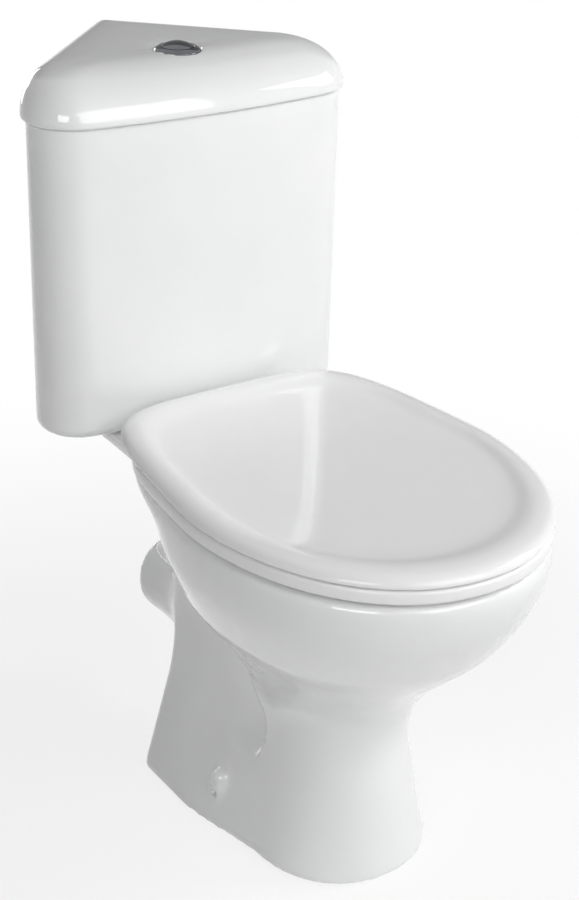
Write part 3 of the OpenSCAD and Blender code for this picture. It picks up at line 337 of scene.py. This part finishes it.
def softness(x, y, z):
    """How far the casting's skin is smoothed: less at its edge, holes, bosses and outlet."""
    softer = CRISP + (1 - CRISP) * fade(off_bowl_edge(y, z), *EDGE_SOFTENS)
    soft = np.where(np.abs(x) > EDGE_BESIDE, softer, 1.0)
    for place_x, place_y, radius, low, high in CRISP_ROUNDS:
        near = (np.hypot(np.abs(x) - place_x, y - place_y) < radius) & (z > low) & (z < high)
        soft = np.where(near, np.minimum(soft, CRISP), soft)
    outlet = OUTLET_END_CRISP + (1 - OUTLET_END_CRISP) * fade(y, *OUTLET_END)
    return np.minimum(soft, outlet + (z > ABOVE_OUTLET))


def neck_flow(x, y, z):
    """Where the bowl runs into the foot with no line, and the foot's rear corners."""
    edge = fade(off_bowl_edge(y, z), *FLOW_OFF_EDGE)
    neck = fade(y, *NECK_ALONG) * fade(z, *NECK_LOW) * fade(z, *NECK_HIGH) * edge
    corners = fade(y, *CORNER_ALONG) * fade(np.abs(x), *CORNER_BESIDE) * fade(z, *CORNER_HIGH)
    return np.maximum(neck, corners)


def outlet_flow(x, y, z):
    """Where the outlet runs into the foot with no line."""
    edge = fade(off_bowl_edge(y, z), *FLOW_OFF_EDGE)
    along = fade(y, *OUTLET_FRONT) * fade(y, *OUTLET_REAR)
    return along * fade(z, *OUTLET_LOW) * fade(z, *OUTLET_HIGH) * edge


def hollow_depth(x, y, z):
    """How far the hollow dips in: steep behind its front, and running out to the rear."""
    front = np.interp(z, [v[1] for v in HOLLOW_EDGE], [v[0] for v in HOLLOW_EDGE])
    behind = y - front
    out = (1 - fade(behind, *HOLLOW_RUNS_OUT)) ** HOLLOW_RUN_OUT_CURVE
    across = fade(behind, *HOLLOW_FALLS) * out
    ends = fade(z, *HOLLOW_LOW) * fade(z, *HOLLOW_HIGH)
    return HOLLOW_DEEP * across * np.sin(ends * math.pi / 2) * (np.abs(x) > HOLLOW_BESIDE)


def smooth_where(piece, weigh, passes):
    """Smooths a mesh by the weight that a function gives each of its points."""
    group = piece.vertex_groups.new(name="weights")
    steps = np.round(weigh(*places_of(piece)) * WEIGHT_STEPS).astype(int)
    for step in range(1, WEIGHT_STEPS + 1):
        members = [int(i) for i in np.nonzero(steps == step)[0]]
        group.add(members, step / WEIGHT_STEPS, "REPLACE")
    modify(piece, "SMOOTH", factor=SMOOTH_STEP, iterations=passes, vertex_group="weights")
    piece.vertex_groups.clear()


def glazed_pan():
    """The fired body: the casting's edges are rounded, and its skin flows from face to face."""
    pan = merged_copy("pan", "glazed_pan")
    modify(pan, "REMESH", mode="VOXEL", voxel_size=PAN_VOXEL * MM, adaptivity=0.0)
    smooth_where(pan, softness, CASTING_PASSES)
    smooth_where(pan, neck_flow, NECK_PASSES)
    smooth_where(pan, outlet_flow, OUTLET_PASSES)
    x, y, z = places_of(pan)
    x -= np.sign(x) * hollow_depth(x, y, z)
    places = (np.stack([x, y, z], 1) * MM).astype(np.float32)
    pan.data.vertices.foreach_set("co", places.ravel())
    pan.data.update()
    modify(pan, "SMOOTH", factor=SMOOTH_STEP, iterations=LAST_PASSES)
    for side in (-1, 1):
        bore(pan, (side * SCREW_HOLE[0], *SCREW_HOLE[1:]), SCREW_RADIUS, SCREW_BORE)
    pan.data.calc_loop_triangles()
    triangles = len(pan.data.loop_triangles)
    if triangles > PAN_TRIANGLES:
        modify(pan, "DECIMATE", ratio=PAN_TRIANGLES / triangles)
    smooth(pan)
    stands_for(pan, "pan")


# ---- Cistern cover and seat -------------------------------------------------

FLAT_WITHIN = math.radians(40)     # bend of two triangles that still make one four-sided face
SQUARE_WITHIN = math.radians(60)   # how far that face's corners may be from square
SUBDIVISIONS = 2

FLOWING = {
    "cistern_cover": "glazed_cistern_cover",
    "seat_ring": "moulded_seat_ring",
    "seat_cover": "moulded_seat_cover",
}


def flowing(node, name):
    """A moulded or cast piece whose rings become one smooth skin."""
    piece = merged_copy(node, name)
    editing(piece, lambda: bpy.ops.mesh.tris_convert_to_quads(
        face_threshold=FLAT_WITHIN, shape_threshold=SQUARE_WITHIN))
    modify(piece, "SUBSURF", levels=SUBDIVISIONS, render_levels=SUBDIVISIONS)
    smooth(piece)
    stands_for(piece, node)


# ---- Cistern and fittings ---------------------------------------------------

EDGE_ANGLE = 32        # an edge sharper than this is broken, in degrees
SHADE_ANGLE = 35       # an edge sharper than this stays sharp in its shading, in degrees

# Width of each piece's broken edges, in millimetres.
EDGES = {
    "cistern": 1.5,
    "ring_buffers": 0.8, "cover_buffers": 0.5,
    "hinge_posts": 0.8, "hinge_pins": 0.4, "hinge_washers": 0.3, "hinge_nuts": 0.6,
    "button_surround": 0.25, "button_backnut": 0.6,
    "full_flush_button": 0.35, "half_flush_button": 0.35,
    "full_push_rod": 0.5, "half_push_rod": 0.5,
    "valve_base": 0.5, "valve_seal_ring": 0.3, "valve_backnut": 0.8, "coupling_washer": 0.6,
    "valve_cage": 0.5, "valve_plunger": 0.6, "plunger_seal": 0.3, "overflow_pipe": 0.4,
    "coupling_bolts": 0.6, "coupling_washers": 0.3, "coupling_nuts": 0.5,
    "fill_stem": 0.5, "fill_washer": 0.3, "fill_backnut": 0.6, "fill_head": 1.0,
    "fill_float": 2.0, "fill_guide_rod": 0.3,
}


def rounded(node, edge_mm):
    """A cast, turned or moulded piece with its edges broken."""
    piece = merged_copy(node, "finished_" + node)
    modify(piece, "BEVEL", width=edge_mm * MM, segments=2, limit_method="ANGLE",
           angle_limit=math.radians(EDGE_ANGLE))
    smooth(piece, SHADE_ANGLE)
    modify(piece, "WEIGHTED_NORMAL", keep_sharp=True)
    stands_for(piece, node)


# ---- Camera, light and floor ------------------------------------------------

CAMERA_PLACE = (-0.93166, -1.38822, 1.20479)
CAMERA_TURN = (-34.574, 26.111, 1.683)     # azimuth from +Y, degrees down, roll
CAMERA_LENS = 73.17                        # focal length on a sensor 36 mm wide
SENSOR_WIDTH = 36
FAR_CLIP = 50

MIDDLE = (0, 0, 0.4)                       # the lamps face this place
# Name, degrees right of straight ahead, degrees up, distance, side and power of each lamp.
LAMPS = [
    ("key_right", 65, 32, 2.6, 1.0, 27),
    ("key_front", 12, 36, 2.6, 1.8, 29),
    ("fill_left", -50, 32, 3.0, 1.1, 21),
    ("fill_rear", 180, 10, 3.0, 1.1, 16),
]

WORLD_LIGHT = 0.06                         # light that falls on the object from all around
WALL_DIRECTION = (0.51, 0.74, 0.44)        # towards the middle of the grey wall
WALL_REACH = (0.84, 0.93)                  # cosine off that direction where it begins, is full
WALL_STRENGTH = 0.35                       # its brightness, with 1 for the white around it

FLOOR_SIZE = 14
FLOOR_BELOW = 0.4                          # millimetres below the object's feet
FLOOR_LIFT_REACH = (0.3, 1.1)              # distances from the middle between which it whitens
FLOOR_LIFT = (0.78, 1.0)                   # share of pure white that the camera sees there


def look(azimuth, elevation, roll):
    """Axes of a camera that looks along an azimuth from +Y, down by an elevation, rolled."""
    a, e, t = (math.radians(v) for v in (azimuth, elevation, roll))
    ahead = Vector((-math.sin(a) * math.cos(e), math.cos(a) * math.cos(e), -math.sin(e)))
    right = Vector((math.cos(a), math.sin(a), 0))
    up = right.cross(ahead)
    right, up = (math.cos(t) * right + math.sin(t) * up,
                 math.cos(t) * up - math.sin(t) * right)
    return Matrix((right, up, -ahead)).transposed()


def set_camera():
    """The photograph's camera."""
    camera = bpy.data.objects.new("camera", bpy.data.cameras.new("camera"))
    bpy.context.scene.collection.objects.link(camera)
    camera.data.lens = CAMERA_LENS
    camera.data.sensor_width = SENSOR_WIDTH
    camera.data.clip_end = FAR_CLIP
    camera.matrix_world = Matrix.Translation(CAMERA_PLACE) @ look(*CAMERA_TURN).to_4x4()
    bpy.context.scene.camera = camera


def softbox(name, azimuth, elevation, distance, side, power):
    """A square lamp that faces the middle of the object."""
    light = bpy.data.lights.new(name, "AREA")
    light.shape = "SQUARE"
    light.size, light.energy = side, power
    lamp = bpy.data.objects.new(name, light)
    bpy.context.scene.collection.objects.link(lamp)
    a, e = math.radians(azimuth), math.radians(elevation)
    reach = Vector((math.sin(a) * math.cos(e), -math.cos(a) * math.cos(e), math.sin(e)))
    reach *= distance
    lamp.location = Vector(MIDDLE) + reach
    lamp.rotation_euler = (-reach).to_track_quat("-Z", "Y").to_euler()


def shown_to_camera(tree):
    """1 for rays that see the background: straight, in a reflection or through glass."""
    path = add(tree, "ShaderNodeLightPath")
    straight = add(tree, "ShaderNodeMath", {0: path.outputs["Is Camera Ray"],
                                            1: path.outputs["Is Glossy Ray"]},
                   operation="MAXIMUM")
    seen = add(tree, "ShaderNodeMath", {0: straight.outputs[0],
                                        1: path.outputs["Is Transmission Ray"]},
               operation="MAXIMUM")
    return seen.outputs[0]


def set_world():
    """White background, with a grey wall that only reflections show."""
    world = bpy.data.worlds.new("studio")
    bpy.context.scene.world = world
    tree = emptied(world)
    light = add(tree, "ShaderNodeBackground", {"Color": WHITE, "Strength": WORLD_LIGHT})
    direction = add(tree, "ShaderNodeTexCoord").outputs["Generated"]
    facing = add(tree, "ShaderNodeVectorMath", {0: direction, 1: WALL_DIRECTION},
                 operation="DOT_PRODUCT").outputs["Value"]
    wall = ramp(tree, facing, WALL_REACH, (1.0, WALL_STRENGTH), interpolation_type="SMOOTHSTEP")
    reflected = add(tree, "ShaderNodeLightPath").outputs["Is Glossy Ray"]
    level = add(tree, "ShaderNodeMix", {0: reflected, LEVEL_A: 1.0, LEVEL_B: wall},
                data_type="FLOAT")
    backdrop = add(tree, "ShaderNodeBackground",
                   {"Color": WHITE, "Strength": level.outputs[LEVEL_OUT]})
    both = add(tree, "ShaderNodeMixShader", {0: shown_to_camera(tree), 1: light.outputs[0],
                                             2: backdrop.outputs[0]})
    add(tree, "ShaderNodeOutputWorld", {"Surface": both.outputs[0]})


def lay_floor():
    """Pale floor: it takes the object's shadow, and is lifted towards white where it is seen."""
    bpy.ops.object.select_all(action="DESELECT")
    bpy.ops.mesh.primitive_plane_add(size=FLOOR_SIZE, location=(0, 0, -FLOOR_BELOW * MM))
    floor = bpy.context.object
    floor.name = "studio_floor"
    bpy.ops.object.transform_apply(location=True, rotation=True, scale=True)
    material = bpy.data.materials.new("painted_studio_floor")
    tree = emptied(material)
    paint = add(tree, "ShaderNodeBsdfDiffuse", {"Color": linear("#F4F4F4")})
    white = add(tree, "ShaderNodeEmission", {"Color": WHITE, "Strength": 1.0})
    place = add(tree, "ShaderNodeTexCoord").outputs["Object"]
    away = add(tree, "ShaderNodeVectorMath", {0: place}, operation="LENGTH").outputs["Value"]
    lifted = ramp(tree, away, FLOOR_LIFT_REACH, FLOOR_LIFT, interpolation_type="SMOOTHSTEP")
    share = add(tree, "ShaderNodeMath", {0: shown_to_camera(tree), 1: lifted},
                operation="MULTIPLY")
    both = add(tree, "ShaderNodeMixShader", {0: share.outputs[0], 1: paint.outputs[0],
                                             2: white.outputs[0]})
    add(tree, "ShaderNodeOutputMaterial", {"Surface": both.outputs[0]})
    floor.data.materials.append(material)


# ---- Build ------------------------------------------------------------------

set_camera()
bpy.context.scene.view_settings.view_transform = "Standard"
set_world()
lay_floor()
for lamp in LAMPS:
    softbox(*lamp)

glazed_pan()
for node, name in FLOWING.items():
    flowing(node, name)
for node, edge in EDGES.items():
    rounded(node, edge)
